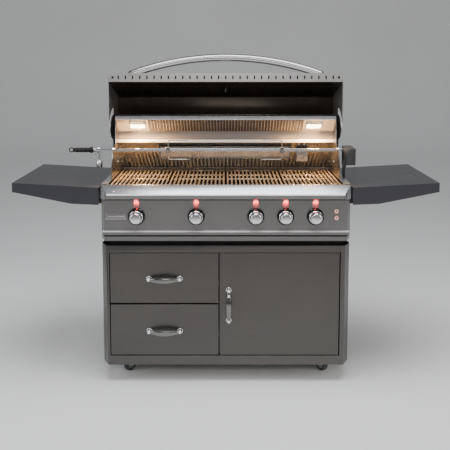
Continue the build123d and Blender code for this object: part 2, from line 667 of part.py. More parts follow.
nodes["rear_caster_forks"] = group(rear_forks)

os.makedirs("parts", exist_ok=True)
for name, shape in nodes.items():
    export_step(shape.moved(Location((0, -MID_Y, 0))), f"parts/{name}.step")
print(len(nodes), "nodes written")
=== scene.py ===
# Gas barbecue grill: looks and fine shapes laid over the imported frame
import bpy
import bmesh
import numpy as np
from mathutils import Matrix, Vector


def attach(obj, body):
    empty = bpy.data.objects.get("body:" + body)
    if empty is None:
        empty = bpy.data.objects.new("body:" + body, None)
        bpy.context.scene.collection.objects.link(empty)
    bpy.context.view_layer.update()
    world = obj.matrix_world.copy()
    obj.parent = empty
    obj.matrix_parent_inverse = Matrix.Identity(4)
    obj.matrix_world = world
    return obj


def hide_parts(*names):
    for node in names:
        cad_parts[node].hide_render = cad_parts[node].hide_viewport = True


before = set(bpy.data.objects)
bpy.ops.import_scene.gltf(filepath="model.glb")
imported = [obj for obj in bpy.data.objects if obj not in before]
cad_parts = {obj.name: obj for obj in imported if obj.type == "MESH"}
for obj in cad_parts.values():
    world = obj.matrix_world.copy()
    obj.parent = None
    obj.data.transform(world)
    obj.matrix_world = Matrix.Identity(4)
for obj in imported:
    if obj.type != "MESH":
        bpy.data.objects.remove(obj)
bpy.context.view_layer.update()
print("frame loaded")

middleY = 260.0      # mm from the panel's face to the frame's origin
hoodPivot = (392.0, 1088.0)
# degrees: bends sharper than these get a crisp or an eased edge
sharpBend = {"piece": 35.0, "sheet": 50.0, "eased": 30.0}


# shapes worked out as arrays
# millimetres measured from the panel's face become metres in the frame
def toFrame(points):
    points = np.asarray(points, float)
    return (points - np.array([0.0, middleY, 0.0])) * 0.001


def newObject(name, data):
    item = bpy.data.objects.new(name, data)
    bpy.context.collection.objects.link(item)
    return item


def makeMesh(name, verts, faces):
    mesh = bpy.data.meshes.new(name)
    mesh.from_pydata(toFrame(verts).tolist(), [], [list(map(int, f)) for f in faces])
    mesh.polygons.foreach_set("use_smooth", [True] * len(mesh.polygons))
    mesh.update()
    return newObject(name, mesh)


# quads of a grid of rows x columns, columns closed round;
# the rows close round as well, or both ends are capped
def gridFaces(rows, cols, wrapRows=False):
    r = np.arange(rows if wrapRows else rows - 1)[:, None]
    c = np.arange(cols)[None, :]
    rn, cn = (r + 1) % rows, (c + 1) % cols
    quads = np.stack([r * cols + c, r * cols + cn, rn * cols + cn, rn * cols + c], -1)
    faces = quads.reshape(-1, 4).tolist()
    if not wrapRows:
        faces.append(np.arange(cols)[::-1].tolist())
        faces.append((np.arange(cols) + (rows - 1) * cols).tolist())
    return faces


# quads of an open patch of rows x columns
def patchFaces(rows, cols):
    r, c = np.meshgrid(np.arange(rows - 1), np.arange(cols - 1), indexing="ij")
    quads = np.stack([r * cols + c, (r + 1) * cols + c, (r + 1) * cols + c + 1, r * cols + c + 1], -1)
    return quads.reshape(-1, 4)


def joinParts(parts):
    verts, faces, offset = [], [], 0
    for v, f in parts:
        v = np.asarray(v, float).reshape(-1, 3)
        verts.append(v)
        faces += [[i + offset for i in face] for face in f]
        offset += len(v)
    return np.concatenate(verts), faces


# equal steps once round
def circle(steps):
    return np.linspace(0, 2 * np.pi, steps, endpoint=False)


# two unit vectors square to an axis
def squareTo(axis):
    axis = np.asarray(axis, float) / np.linalg.norm(axis)
    helper = np.array([0.0, 0.0, 1.0]) if abs(axis[2]) < 0.9 else np.array([1.0, 0.0, 0.0])
    side = np.cross(axis, helper)
    side /= np.linalg.norm(side)
    return axis, side, np.cross(axis, side)


# point(s, t) = centre + axis * a(s) + r(s) * wave(t) * (side cos t + up sin t)
def turned(profile, centre, axis, around=48, wave=None):
    axis, side, up = squareTo(axis)
    profile = np.asarray(profile, float)
    t = circle(around)
    ring = np.cos(t)[:, None] * side + np.sin(t)[:, None] * up
    r = profile[:, 0][:, None] * np.ones(around)
    if wave is not None:
        r = r * wave(t[None, :], profile[:, 1][:, None])
    verts = np.asarray(centre) + profile[:, 1][:, None, None] * axis + r[..., None] * ring
    return verts.reshape(-1, 3), gridFaces(len(profile), around)


# closed ring profile (first point not repeated) turned about an axis
def turnedRing(profile, centre, axis, around=48):
    verts, _ = turned(profile, centre, axis, around)
    return verts, gridFaces(len(profile), around, wrapRows=True)


# thin round wire with blunt ends
def wire(start, axis, length, r, tip=0.2):
    return turned([(0.05, 0), (r, tip), (r, length), (0.05, length + tip)], start, axis, 6)


# point(s, t) = path(s) + radius(s) * (side(s) cos t + up(s) sin t), ends capped
def tube(path, radius, around, upHint):
    path = np.asarray(path, float)
    tangent = np.gradient(path, axis=0)
    tangent /= np.linalg.norm(tangent, axis=1)[:, None]
    hint = np.asarray(upHint, float)
    side = np.cross(tangent, hint)
    side /= np.linalg.norm(side, axis=1)[:, None]
    up = np.cross(side, tangent)
    t = circle(around)
    radius = np.broadcast_to(np.asarray(radius, float), len(path))[:, None, None]
    ring = np.cos(t)[None, :, None] * side[:, None, :] + np.sin(t)[None, :, None] * up[:, None, :]
    verts = path[:, None, :] + radius * ring
    faces = [f[::-1] for f in gridFaces(len(path), around)]
    return verts.reshape(-1, 3), faces


# closed outline in y and z carried straight along x, ends capped
def extruded(outline, low, high):
    ends = [np.insert(outline, 0, x, axis=1) for x in (low, high)]
    return np.concatenate(ends), gridFaces(2, len(outline))


# six patches of a rounded box: a cube direction d = (1, tan a, tan b) made a unit vector,
# point = middle + corner of the inner box + r * d
def softBox(low, high, r=2.0, steps=3):
    low, high = np.asarray(low, float), np.asarray(high, float)
    half, mid = (high - low) / 2, (high + low) / 2
    r = min(r, half.min() * 0.98)
    quarter = np.linspace(0, np.pi / 4, steps + 1)
    lean = np.tan(np.concatenate([quarter - np.pi / 4, quarter]))
    away = np.repeat([-1.0, 1.0], steps + 1)
    n = len(lean)
    quads = patchFaces(n, n)
    verts, faces = [], []
    for patch in range(6):
        axis, sign = patch // 2, (-1, 1)[patch % 2]
        first, second = [k for k in range(3) if k != axis]
        d, corner = np.zeros((n, n, 3)), np.zeros((n, n, 3))
        d[..., axis], corner[..., axis] = sign, sign
        d[..., first], d[..., second] = lean[:, None], lean[None, :]
        corner[..., first], corner[..., second] = away[:, None], away[None, :]
        d /= np.linalg.norm(d, axis=-1)[..., None]
        verts.append((mid + corner * (half - r) + d * r).reshape(-1, 3))
        turn = quads if (axis != 1) == (sign > 0) else quads[:, ::-1]
        faces += (turn + patch * n * n).tolist()
    return np.concatenate(verts), faces


# coincident seams are welded and faces are turned outwards
def closePiece(piece):
    bm = bmesh.new()
    bm.from_mesh(piece.data)
    bmesh.ops.remove_doubles(bm, verts=bm.verts, dist=1e-6)
    bmesh.ops.recalc_face_normals(bm, faces=bm.faces)
    bm.to_mesh(piece.data)
    bm.free()


def addPiece(name, parts, look, body, stands=()):
    verts, faces = joinParts(parts)
    piece = makeMesh(name, verts, faces)
    closePiece(piece)
    piece.data.set_sharp_from_angle(angle=np.radians(sharpBend["piece"]))
    piece.data.materials.append(finish[look])
    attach(piece, body)
    if stands:
        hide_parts(*stands)


# a hood shape drawn closed, swung a quarter turn back about the hinge: y, z -> z, -y
def swungOpen(parts):
    out = []
    for verts, faces in parts:
        v = np.asarray(verts, float).reshape(-1, 3).copy()
        y, z = v[:, 1] - hoodPivot[0], v[:, 2] - hoodPivot[1]
        v[:, 1], v[:, 2] = hoodPivot[0] + z, hoodPivot[1] - y
        out.append((v, faces))
    return out


# a copy of a sheet-metal node, merged, with its bend and cut edges eased;
# bands are (low, high, finish) for faces that lie wholly between two heights
def easedNode(node, body, material, width, bands):
    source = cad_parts[node]
    mesh = source.data.copy()
    mesh.name = node + "Eased"
    bm = bmesh.new()
    bm.from_mesh(mesh)
    bmesh.ops.remove_doubles(bm, verts=bm.verts, dist=2e-6)
    bmesh.ops.dissolve_limit(bm, angle_limit=np.radians(1.0), verts=bm.verts, edges=bm.edges)
    bm.to_mesh(mesh)
    bm.free()
    piece = newObject(node + "Eased", mesh)
    mesh.materials.clear()
    mesh.materials.append(material)
    spans = np.array([[min(z), max(z)] for z in
                      ([mesh.vertices[v].co.z * 1000 for v in face.vertices] for face in mesh.polygons)])
    slots = np.zeros(len(spans), int)
    for i, (low, high, other) in enumerate(bands):
        mesh.materials.append(finish[other])
        slots[(spans[:, 0] > low) & (spans[:, 1] < high)] = i + 1
    mesh.polygons.foreach_set("material_index", slots)
    ease = piece.modifiers.new("ease", "BEVEL")
    ease.width = width * 0.001
    ease.segments = 2
    ease.limit_method = "ANGLE"
    ease.angle_limit = np.radians(sharpBend["eased"])
    mesh.polygons.foreach_set("use_smooth", [True] * len(mesh.polygons))
    mesh.set_sharp_from_angle(angle=np.radians(sharpBend["sheet"]))
    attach(piece, body)
    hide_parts(node)


# materials
def newMaterial(name):
    mat = bpy.data.materials.new(name)
    mat.use_nodes = True
    nodes, links = mat.node_tree.nodes, mat.node_tree.links
    bsdf = nodes["Principled BSDF"]
    return mat, nodes, links, bsdf


# noise in the object's own space; the scale is one number or one for each axis
def objectNoise(nodes, links, scale, detail, rough):
    coord = nodes.new("ShaderNodeTexCoord")
    mapping = nodes.new("ShaderNodeMapping")
    mapping.inputs["Scale"].default_value = scale if isinstance(scale, tuple) else (scale,) * 3
    noise = nodes.new("ShaderNodeTexNoise")
    noise.inputs["Scale"].default_value = 1.0
    noise.inputs["Detail"].default_value = detail
    noise.inputs["Roughness"].default_value = rough
    links.new(coord.outputs["Object"], mapping.inputs["Vector"])
    links.new(mapping.outputs["Vector"], noise.inputs["Vector"])
    return noise.outputs["Fac"]


def ramp(nodes, links, source, stops):
    node = nodes.new("ShaderNodeValToRGB")
    elements = node.color_ramp.elements
    for i, (place, color) in enumerate(stops):
        element = elements[i] if i < 2 else elements.new(place)
        element.position = place
        element.color = (*color, 1.0)
    links.new(source, node.inputs["Fac"])
    return node.outputs["Color"]


def spread(nodes, links, source, low, high):
    node = nodes.new("ShaderNodeMapRange")
    node.inputs["From Min"].default_value = 0.25
    node.inputs["From Max"].default_value = 0.75
    node.inputs["To Min"].default_value = low
    node.inputs["To Max"].default_value = high
    links.new(source, node.inputs["Value"])
    return node.outputs["Result"]


def addBump(nodes, links, bsdf, source, strength, distance):
    bump = nodes.new("ShaderNodeBump")
    bump.inputs["Strength"].default_value = strength
    bump.inputs["Distance"].default_value = distance
    links.new(source, bump.inputs["Height"])
    links.new(bump.outputs["Normal"], bsdf.inputs["Normal"])


def setRoughness(nodes, links, bsdf, source, rough):
    links.new(spread(nodes, links, source, *rough), bsdf.inputs["Roughness"])


# base colour = first ramp's colour times the second's
def multiplyColors(nodes, links, bsdf, first, second):
    both = nodes.new("ShaderNodeMix")
    both.data_type = "RGBA"
    both.blend_type = "MULTIPLY"
    both.inputs[0].default_value = 1.0
    links.new(first, both.inputs[6])
    links.new(second, both.inputs[7])
    links.new(both.outputs[2], bsdf.inputs["Base Color"])


# noise scale of a grain that runs long along one axis
def grainScale(grain, along, across):
    return tuple(along if axis == grain else across for axis in "xyz")


# brushed sheet: fine grain along one axis, soft smudges, slow tone drift
def brushedSteel(name, tone, grain, rough, metal):
    mat, nodes, links, bsdf = newMaterial(name)
    bsdf.inputs["Metallic"].default_value = metal
    fine = objectNoise(nodes, links, grainScale(grain, 5, 1100), 4, 0.6)
    slow = objectNoise(nodes, links, 2.2, 4, 0.5)
    smudge = objectNoise(nodes, links, 14, 6, 0.65)
    drift = 0.06
    dark = tuple(c * (1 - drift) for c in tone)
    light = tuple(min(1.0, c * (1 + drift)) for c in tone)
    grained = ramp(nodes, links, fine, [(0.3, dark), (0.7, light)])
    shade = ramp(nodes, links, slow, [(0.3, (0.90, 0.90, 0.92)), (0.7, (1.0, 1.0, 1.0))])
    multiplyColors(nodes, links, bsdf, grained, shade)
    fineRough = spread(nodes, links, fine, *rough)
    smudgeRough = spread(nodes, links, smudge, -0.01, 0.03)
    total = nodes.new("ShaderNodeMath")
    total.operation = "ADD"
    links.new(fineRough, total.inputs[0])
    links.new(smudgeRough, total.inputs[1])
    links.new(total.outputs[0], bsdf.inputs["Roughness"])
    addBump(nodes, links, bsdf, fine, 0.1, 0.0002)
    return mat


# steel that heat has tinted straw and brown in slow clouds, with soot specks
def heatedSteel(name, tone, tint, soot, rough, grain, metal):
    mat, nodes, links, bsdf = newMaterial(name)
    bsdf.inputs["Metallic"].default_value = metal
    fine = objectNoise(nodes, links, grainScale(grain, 4, 500), 3, 0.6)
    cloud = objectNoise(nodes, links, (3.5, 3.5, 5), 5, 0.6)
    specks = objectNoise(nodes, links, 38, 8, 0.75)
    tinted = ramp(nodes, links, cloud, [(0.32, tone), (0.68, tint)])
    sooty = (1 - soot, 1 - soot * 1.05, 1 - soot * 1.1)
    dirt = ramp(nodes, links, specks, [(0.52, (1, 1, 1)), (0.78, sooty)])
    multiplyColors(nodes, links, bsdf, tinted, dirt)
    setRoughness(nodes, links, bsdf, cloud, rough)
    addBump(nodes, links, bsdf, fine, 0.1, 0.0002)
    return mat


# turned or polished metal with faint wipe marks
def polishedMetal(name, tone, rough, bumpy):
    mat, nodes, links, bsdf = newMaterial(name)
    bsdf.inputs["Metallic"].default_value = 1.0
    wipe = objectNoise(nodes, links, 40, 6, 0.7)
    dark = tuple(c * 0.9 for c in tone)
    shade = ramp(nodes, links, wipe, [(0.3, dark), (0.65, tone)])
    links.new(shade, bsdf.inputs["Base Color"])
    setRoughness(nodes, links, bsdf, wipe, rough)
    addBump(nodes, links, bsdf, wipe, bumpy, 0.0003)
    return mat


# moulded plastic, rubber or enamel: fine grain and dusty patches
def mouldedSurface(name, tone, dust, rough, grain, bumpy, shine):
    mat, nodes, links, bsdf = newMaterial(name)
    fine = objectNoise(nodes, links, grain, 2, 0.5)
    patch = objectNoise(nodes, links, 18, 6, 0.65)
    shade = ramp(nodes, links, patch, [(0.42, tone), (0.75, dust)])
    links.new(shade, bsdf.inputs["Base Color"])
    bsdf.inputs["Specular IOR Level"].default_value = shine
    setRoughness(nodes, links, bsdf, patch, rough)
    addBump(nodes, links, bsdf, fine, bumpy, 0.0002)
    return mat


# lit lens whose glow is a little uneven
def glowing(name, tone, strength):
    mat, nodes, links, bsdf = newMaterial(name)
    bsdf.inputs["Base Color"].default_value = (0.9, 0.9, 0.9, 1.0)
    bsdf.inputs["Roughness"].default_value = 0.25
    cloud = objectNoise(nodes, links, 60, 2, 0.5)
    dim = tuple(c * 0.75 for c in tone)
    shade = ramp(nodes, links, cloud, [(0.2, dim), (0.7, tone)])
    links.new(shade, bsdf.inputs["Emission Color"])
    bsdf.inputs["Emission Strength"].default_value = strength
    addBump(nodes, links, bsdf, cloud, 0.2, 0.0005)
    return mat


# fired tile: small round burner ports as painted shade, dark at the middle of each cell
def portedTile(name):
    mat, nodes, links, bsdf = newMaterial(name)
    coord = nodes.new("ShaderNodeTexCoord")
    cells = nodes.new("ShaderNodeTexVoronoi")
    cells.inputs["Scale"].default_value = 170
    cells.inputs["Randomness"].default_value = 0.15
    links.new(coord.outputs["Object"], cells.inputs["Vector"])
    # the port tone is painted shade in the holes; the clay tone and scorch clouds are the tile's own
    portShadeTone, clay = (0.16, 0.11, 0.08), (0.66, 0.54, 0.42)
    ports = ramp(nodes, links, cells.outputs["Distance"], [(0.22, portShadeTone), (0.42, clay)])
    cloud = objectNoise(nodes, links, 9, 5, 0.6)
    scorch = ramp(nodes, links, cloud, [(0.3, (0.55, 0.50, 0.48)), (0.7, (1, 1, 1))])
    multiplyColors(nodes, links, bsdf, ports, scorch)
    bsdf.inputs["Roughness"].default_value = 0.85
    addBump(nodes, links, bsdf, cells.outputs["Distance"], 0.6, 0.001)
    return mat


# tone, grain axis, roughness range, metallic share
brushedLooks = {
    "cartSteel": ((0.108, 0.102, 0.096), "z", (0.26, 0.38), 0.85),
    "doorSteel": ((0.100, 0.094, 0.088), "x", (0.25, 0.36), 0.85),
    "panelSteel": ((0.205, 0.20, 0.195), "x", (0.26, 0.38), 0.75),
    # the near-white, mostly diffuse steel below is painted highlight: a lit copy of the steel for edges and
    # tops that catch the light
    "lipSteel": ((0.96, 0.96, 0.96), "x", (0.20, 0.30), 0.15),
    "badgeSteel": ((0.28, 0.27, 0.27), "x", (0.24, 0.34), 0.85),
    "rimSteel": ((0.46, 0.46, 0.47), "x", (0.20, 0.30), 0.95),
    "shelfSteel": ((0.082, 0.082, 0.092), "x", (0.26, 0.40), 0.85),
    "hoodSteel": ((0.44, 0.43, 0.42), "x", (0.24, 0.36), 0.8),
    "motorSteel": ((0.085, 0.085, 0.085), "z", (0.26, 0.38), 0.85),
}
# tone, heat tint, soot, roughness range, grain axis, metallic share
heatedLooks = {
    # the liner's dark tone is painted shade inside the open hood, laid over its own heat tint and soot
    "linerSteel": ((0.085, 0.070, 0.056), (0.065, 0.050, 0.036), 0.05, (0.18, 0.26), "x", 0.8),
    "canopySteel": ((0.35, 0.34, 0.33), (0.32, 0.30, 0.28), 0.03, (0.12, 0.19), "x", 0.95),
    # the slot sheet's dark tone is painted shade in the canopy's slots
    "slotDark": ((0.10, 0.085, 0.07), (0.07, 0.055, 0.04), 0.3, (0.4, 0.6), "x", 0.8),
    "tubSteel": ((0.07, 0.055, 0.04), (0.04, 0.03, 0.02), 0.5, (0.4, 0.6), "x", 0.8),
    "grateSteel": ((0.76, 0.64, 0.47), (0.62, 0.49, 0.33), 0.15, (0.16, 0.28), "y", 0.8),
}
# tone, roughness range, bump strength
polishedLooks = {
    "chrome": ((0.82, 0.82, 0.83), (0.05, 0.12), 0.03),
    "pullChrome": ((0.20, 0.20, 0.195), (0.06, 0.14), 0.03),
    "handleSteel": ((0.36, 0.355, 0.35), (0.14, 0.24), 0.03),
    "tineSteel": ((0.40, 0.385, 0.37), (0.16, 0.28), 0.03),
    "darkChrome": ((0.055, 0.054, 0.053), (0.08, 0.16), 0.03),
    "brass": ((0.70, 0.52, 0.24), (0.22, 0.4), 0.03),
    "zinc": ((0.70, 0.72, 0.74), (0.20, 0.36), 0.08),
}
# tone, dust tone, roughness range, grain scale, bump strength, specular level
mouldedLooks = {
    "blackGrip": ((0.018, 0.018, 0.018), (0.05, 0.048, 0.045), (0.4, 0.6), 900, 0.15, 0.12),
    "rubber": ((0.03, 0.03, 0.032), (0.09, 0.088, 0.085), (0.5, 0.8), 600, 0.3, 0.5),
    # near black: the knob marks and dial print, and also painted shade in the cart's recesses and behind the
    # flange slots
    "darkGap": ((0.006, 0.006, 0.006), (0.014, 0.014, 0.014), (0.6, 0.8), 900, 0.15, 0.12),
    "dialFace": ((0.74, 0.74, 0.71), (0.64, 0.64, 0.61), (0.3, 0.4), 400, 0.02, 0.5),
}
# tone, strength
glowingLooks = {
    "lampGlow": ((1.0, 0.78, 0.46), 14.0),
    "ledGlow": ((1.0, 0.05, 0.035), 2.6),
    "buttonGlow": ((1.0, 0.16, 0.08), 1.5),
}
finish = {"tile": portedTile("tile")}
for make, looks in ((brushedSteel, brushedLooks), (heatedSteel, heatedLooks), (polishedMetal, polishedLooks),
                    (mouldedSurface, mouldedLooks), (glowing, glowingLooks)):
    for name, look in looks.items():
        finish[name] = make(name, *look)
print("materials ready")


# camera, floor and lights
studio = {"lens": 55.73, "height": 1.525, "distance": 3.404, "pitch": 5.685, "shiftX": -0.0017,
          "shiftY": -0.22, "front": -12000.0, "back": 9000.0, "half": 12000.0, "bend": 1400.0,
          "tall": 6500.0, "floorTone": (0.95, 0.95, 0.94), "worldTone": (0.80, 0.81, 0.84),
          "worldPower": 0.36}


# floor and back wall as one sheet: y runs back, then a quarter circle, then up
def makeStudio():
    camData = bpy.data.cameras.new("viewCamera")
    camData.lens = studio["lens"]
    camData.shift_x = studio["shiftX"]
    camData.shift_y = studio["shiftY"]
    cam = newObject("viewCamera", camData)
    cam.location = (0.0, -studio["distance"], studio["height"])
    cam.rotation_euler = (np.radians(90 - studio["pitch"]), 0, 0)
    bpy.context.scene.camera = cam
    a = np.linspace(0, np.pi / 2, 16)
    back, bend = studio["back"], studio["bend"]
    run = np.concatenate([[studio["front"]], back - bend + bend * np.sin(a), [back]])
    rise = np.concatenate([[0.0], bend - bend * np.cos(a), [studio["tall"]]])
    x = np.array([-studio["half"], studio["half"]])
    verts = np.stack([np.repeat(x[None, :], len(run), 0), np.repeat(run[:, None], 2, 1),
                      np.repeat(rise[:, None], 2, 1)], -1).reshape(-1, 3)
    faces = [[i * 2, i * 2 + 1, i * 2 + 3, i * 2 + 2] for i in range(len(run) - 1)]
    floor = makeMesh("studioFloor", verts, faces)
    mat, nodes, links, bsdf = newMaterial("floorPaint")
    cloud = objectNoise(nodes, links, 0.8, 3, 0.5)
    dark = tuple(c * 0.96 for c in studio["floorTone"])
    shade = ramp(nodes, links, cloud, [(0.3, dark), (0.7, studio["floorTone"])])
    links.new(shade, bsdf.inputs["Base Color"])
    bsdf.inputs["Roughness"].default_value = 0.7
    floor.data.materials.append(mat)
    world = bpy.data.worlds.new("softRoom")
    world.use_nodes = True
    bpy.context.scene.world = world
    air = world.node_tree.nodes["Background"]
    air.inputs["Color"].default_value = (*studio["worldTone"], 1)
    air.inputs["Strength"].default_value = studio["worldPower"]
    bpy.context.scene.view_settings.view_transform = "AgX"


# soft rectangle of light; the opening is its cone in degrees
def addLight(name, place, aim, wide, tall, power, tone, opening=180):
    data = bpy.data.lights.new(name, "AREA")
    data.shape = "RECTANGLE"
    data.size = wide
    data.size_y = tall
    data.energy = power
    data.color = tone
    data.spread = np.radians(opening)
    lamp = newObject(name, data)
    lamp.location = place
    lamp.visible_camera = False
    lamp.rotation_euler = (Vector(aim) - Vector(place)).to_track_quat("-Z", "Y").to_euler()


def millis(x, y, z):
    return (x * 0.001, (y - middleY) * 0.001, z * 0.001)


# place, aim, width, height, power, tone
softLights = {
    "softTop": ((0.2, -0.7, 3.4), (0, 0, 0.9), 2.6, 1.6, 95, (0.95, 0.97, 1.0)),
    "softLeft": ((-3.2, -1.8, 2.0), (0, 0, 0.8), 1.4, 2.4, 40, (0.95, 0.97, 1.0)),
    "softRight": ((3.0, -2.2, 1.7), (0, 0, 0.7), 1.2, 2.2, 30, (1.0, 0.97, 0.93)),
    "softFront": ((0.0, -3.6, 2.1), (0, 0.2, 0.95), 1.8, 0.7, 26, (1.0, 0.98, 0.95)),
}
makeStudio()
for name, look in softLights.items():
    addLight(name, *look)
print("studio ready")


# lamps on the grill
hoodGlow = {"x": 441.0, "y": 322.0, "z": 1172.0, "aim": (380.0, 260.0, 935.0), "long": 0.07, "wide": 0.03,
            "power": 8.5, "tone": (1.0, 0.56, 0.24)}
panelGlow = {"y": -4.5, "z": 872.0, "aim": (-0.5, 861.0), "long": 0.021, "wide": 0.003, "power": 0.16,
             "tone": (1.0, 0.03, 0.025), "opening": 30}
knobXs = (-410.0, -136.0, 138.0, 275.0, 412.0)
for i, side in enumerate((-1, 1)):
    aimX, aimY, aimZ = hoodGlow["aim"]
    addLight(f"hoodLamp{i}", millis(side * hoodGlow["x"], hoodGlow["y"], hoodGlow["z"]),
             millis(side * aimX, aimY, aimZ), hoodGlow["long"], hoodGlow["wide"], hoodGlow["power"],
             hoodGlow["tone"])
for i, x in enumerate(knobXs):
    addLight(f"panelLed{i}", millis(x, panelGlow["y"], panelGlow["z"]), millis(x, *panelGlow["aim"]),
             panelGlow["long"], panelGlow["wide"], panelGlow["power"], panelGlow["tone"],
             panelGlow["opening"])

# control knobs, rings and buttons; all turn about an axis towards the viewer
knobLook = {"z": 794.0, "flutes": 24, "barHalf": 4.4, "barTall": 21.5}
forward = (0, -1, 0)


# ring of the knob: r = profile(a) * (1 - small cosine flutes round the skirt)
def makeKnobs():
    z, half, tall = knobLook["z"], knobLook["barHalf"], knobLook["barTall"]
    profile = [(0.1, 8.2), (25, 8.2), (29.6, 8.6), (30.6, 9.6), (31, 12), (31, 21), (30.4, 23.2),
               (28.6, 24.4), (27.4, 26), (26.6, 32), (25.4, 42), (24.4, 46), (22.6, 48.2), (19, 49.4),
               (10, 49.9), (0.1, 50)]

    def flutes(t, a):
        share = np.clip((a - 25) / 4, 0, 1) * np.clip((47 - a) / 3, 0, 1)
        return 1 - 0.022 * share * (0.5 + 0.5 * np.cos(knobLook["flutes"] * t)) ** 2

    for i, x in enumerate(knobXs):
        node = f"knob_{i + 1}"
        body = turned(profile, (x, 0, z), forward, 96, flutes)
        bar = softBox((x - half, -52.3, z - tall), (x + half, -34, z + tall), 2.2)
        mark = softBox((x - 1.0, -52.45, z + 8), (x + 1.0, -51.5, z + 20), 0.4, 1)
        addPiece(f"knob{i + 1}Body", [body, bar], "chrome", node, (node,))
        addPiece(f"knob{i + 1}Mark", [mark], "darkGap", node)


bezelLook = {"marks": 9, "first": -30, "step": 30, "markR": 38.55}


# bezel: closed ring section turned about the knob's axis, with a fine stepped face
def makeBezels():
    z, look = knobLook["z"], bezelLook
    ring = [(32.4, 3.2), (9, 3.2), (9, 0.3), (39.4, 0.3), (40, 0.9), (40, 3.6), (39.2, 5), (37.6, 5.6),
            (37.2, 10.4), (36.4, 11.7), (35.2, 12), (33.4, 11.7), (32.6, 10.8)]
    dot = [(0.1, 5.2), (0.7, 5.2), (0.7, 5.75), (0.1, 5.8)]
    rings, marks = [], []
    for x in knobXs:
        rings.append(turnedRing(ring, (x, 0, z), forward, 72))
        for k in range(look["marks"]):
            a = np.radians(look["first"] + k * look["step"])
            spot = (x + look["markR"] * np.cos(a), 0, z + look["markR"] * np.sin(a))
            marks.append(turned(dot, spot, forward, 8))
    addPiece("bezelRings", rings, "darkChrome", "cart", ("knob_bezels",))
    addPiece("bezelMarks", marks, "dialFace", "cart")


buttonLook = {"x": 508.0, "heights": {"power_button": 819.0, "light_button": 788.0}, "around": 40}


# button: shallow dome inside a glowing ring and a chrome collar
def makeButtons():
    around = buttonLook["around"]
    for node, z in buttonLook["heights"].items():
        place, name = (buttonLook["x"], 0, z), node.replace("_b", "B")
        cap = turned([(0.1, -13), (7.9, -13), (7.9, 3.4), (7.2, 4.4), (5.4, 4.9), (0.1, 5)],
                     place, forward, around)
        flange = turnedRing([(7.8, -12), (9.5, -12), (9.5, -8), (7.8, -8)], place, forward, around)
        glow = turnedRing([(5.6, 4.6), (7.0, 4.1), (7.3, 4.6), (6.6, 5.0), (5.8, 5.0)],
                          place, forward, around)
        addPiece(name + "Cap", [cap, flange], "handleSteel", node, (node,))
        addPiece(name + "Glow", [glow], "buttonGlow", node)
        collar = turnedRing([(8.3, 0.2), (11.6, 0.2), (11.6, 1.4), (10.6, 2.2), (8.8, 2.3), (8.3, 1.6)],
                            place, forward, around)
        halo = turnedRing([(8.6, 2.1), (9.5, 2.1), (9.4, 2.7), (8.8, 2.7)], place, forward, around)
        addPiece(name + "Collar", [collar], "darkChrome", "cart")
        addPiece(name + "Halo", [halo], "buttonGlow", "cart")


ledLook = {"y": -14.0, "top": 873.6, "deep": 5.6, "tall": 3.6, "half": 9.0}


# lamp under the rim: half round bar along x
def makeLeds():
    look, a = ledLook, np.linspace(0, np.pi, 9)
    outline = np.stack([look["y"] + look["deep"] * np.cos(a), look["top"] - look["tall"] * np.sin(a)], -1)
    parts = [extruded(outline, x - look["half"], x + look["half"]) for x in knobXs]
    addPiece("ledBars", parts, "ledGlow", "cart", ("led_lights",))


badgeLook = {"low": (-555, -2.15, 778.2), "high": (-457, -0.25, 813.8), "studXs": (-549, -463),
             "studZs": (784, 808), "lineLow": (-545, -2.45, 795), "lineHigh": (-467, -2.0, 797)}


# badge: blank plate with eased rim, four round studs and a plain raised line
def makeBadge():
    look = badgeLook
    blank = softBox(look["low"], look["high"], 0.9, 2)
    addPiece("badgeBlank", [blank], "badgeSteel", "cart", ("badge_plate",))
    studs = [turned([(0.1, 1.9), (1.9, 1.95), (1.6, 2.6), (0.1, 2.9)], (x, 0, z), forward, 14)
             for x in look["studXs"] for z in look["studZs"]]
    addPiece("badgeStuds", studs + [softBox(look["lineLow"], look["lineHigh"], 0.2, 1)], "chrome", "cart")


makeKnobs()
makeBezels()
makeButtons()
makeLeds()
makeBadge()
print("panel fittings made")


# arched pulls and the hood's handle
pullLook = {"half": 72.0, "out": 40.0, "foot": -15.0, "wide": 23.6, "narrow": 10.6, "thick": 6.8,
            "footR": 10.0, "flangeR": 12.8}


# arch: y(s) falls along a circle from foot to crown, and a rounded flat section
# (superellipse, width swelling as 1 - s^2) is carried along it
def archedPull(center, upright=False):
    look = pullLook
    half, rise = look["half"], look["out"] + look["foot"] - look["thick"] / 2
    radius = (half ** 2 + rise ** 2) / (2 * rise)
    s = np.linspace(-1, 1, 41)
    bend = s * np.arcsin(half / radius)
    path = np.stack([radius * np.sin(bend), look["foot"] - rise + radius * (1 - np.cos(bend))], -1)
    wide = (look["narrow"] + (look["wide"] - look["narrow"]) * (1 - s ** 2)) / 2
    t = circle(28)
    across = np.sign(np.cos(t)) * np.abs(np.cos(t)) ** 0.75
    deep = np.sign(np.sin(t)) * np.abs(np.sin(t)) ** 0.75 * look["thick"] / 2
    verts = np.zeros((len(s), len(t), 3))
    verts[..., 0] = path[:, 0][:, None] - np.sin(bend)[:, None] * deep
    verts[..., 1] = path[:, 1][:, None] + np.cos(bend)[:, None] * deep
    verts[..., 2] = wide[:, None] * across
    arch, feet = [(verts.reshape(-1, 3), gridFaces(len(s), len(t)))], []
    b = np.linspace(0, np.pi / 2, 9)
    r, f = look["footR"], look["flangeR"]
    dome = np.stack([np.maximum(r * np.cos(b), 0.05), -look["foot"] + r * np.sin(b)], -1)
    foot = [(0.1, -1.7), (f - 0.4, -1.7), (f, -1.0), (f, 1.0), (f - 0.8, 1.9), (r + 0.4, 2.3), (r, 3.2)]
    for x in (-half, half):
        feet.append(turned(np.concatenate([foot, dome]), (x, 0, 0), (0, -1, 0), 40))

    def placed(parts):
        out = []
        for v, faces in parts:
            v = np.stack([-v[:, 2], v[:, 1], v[:, 0]], -1) if upright else v
            out.append((v + np.asarray(center), faces))
        return out

    return placed(arch), placed(feet)


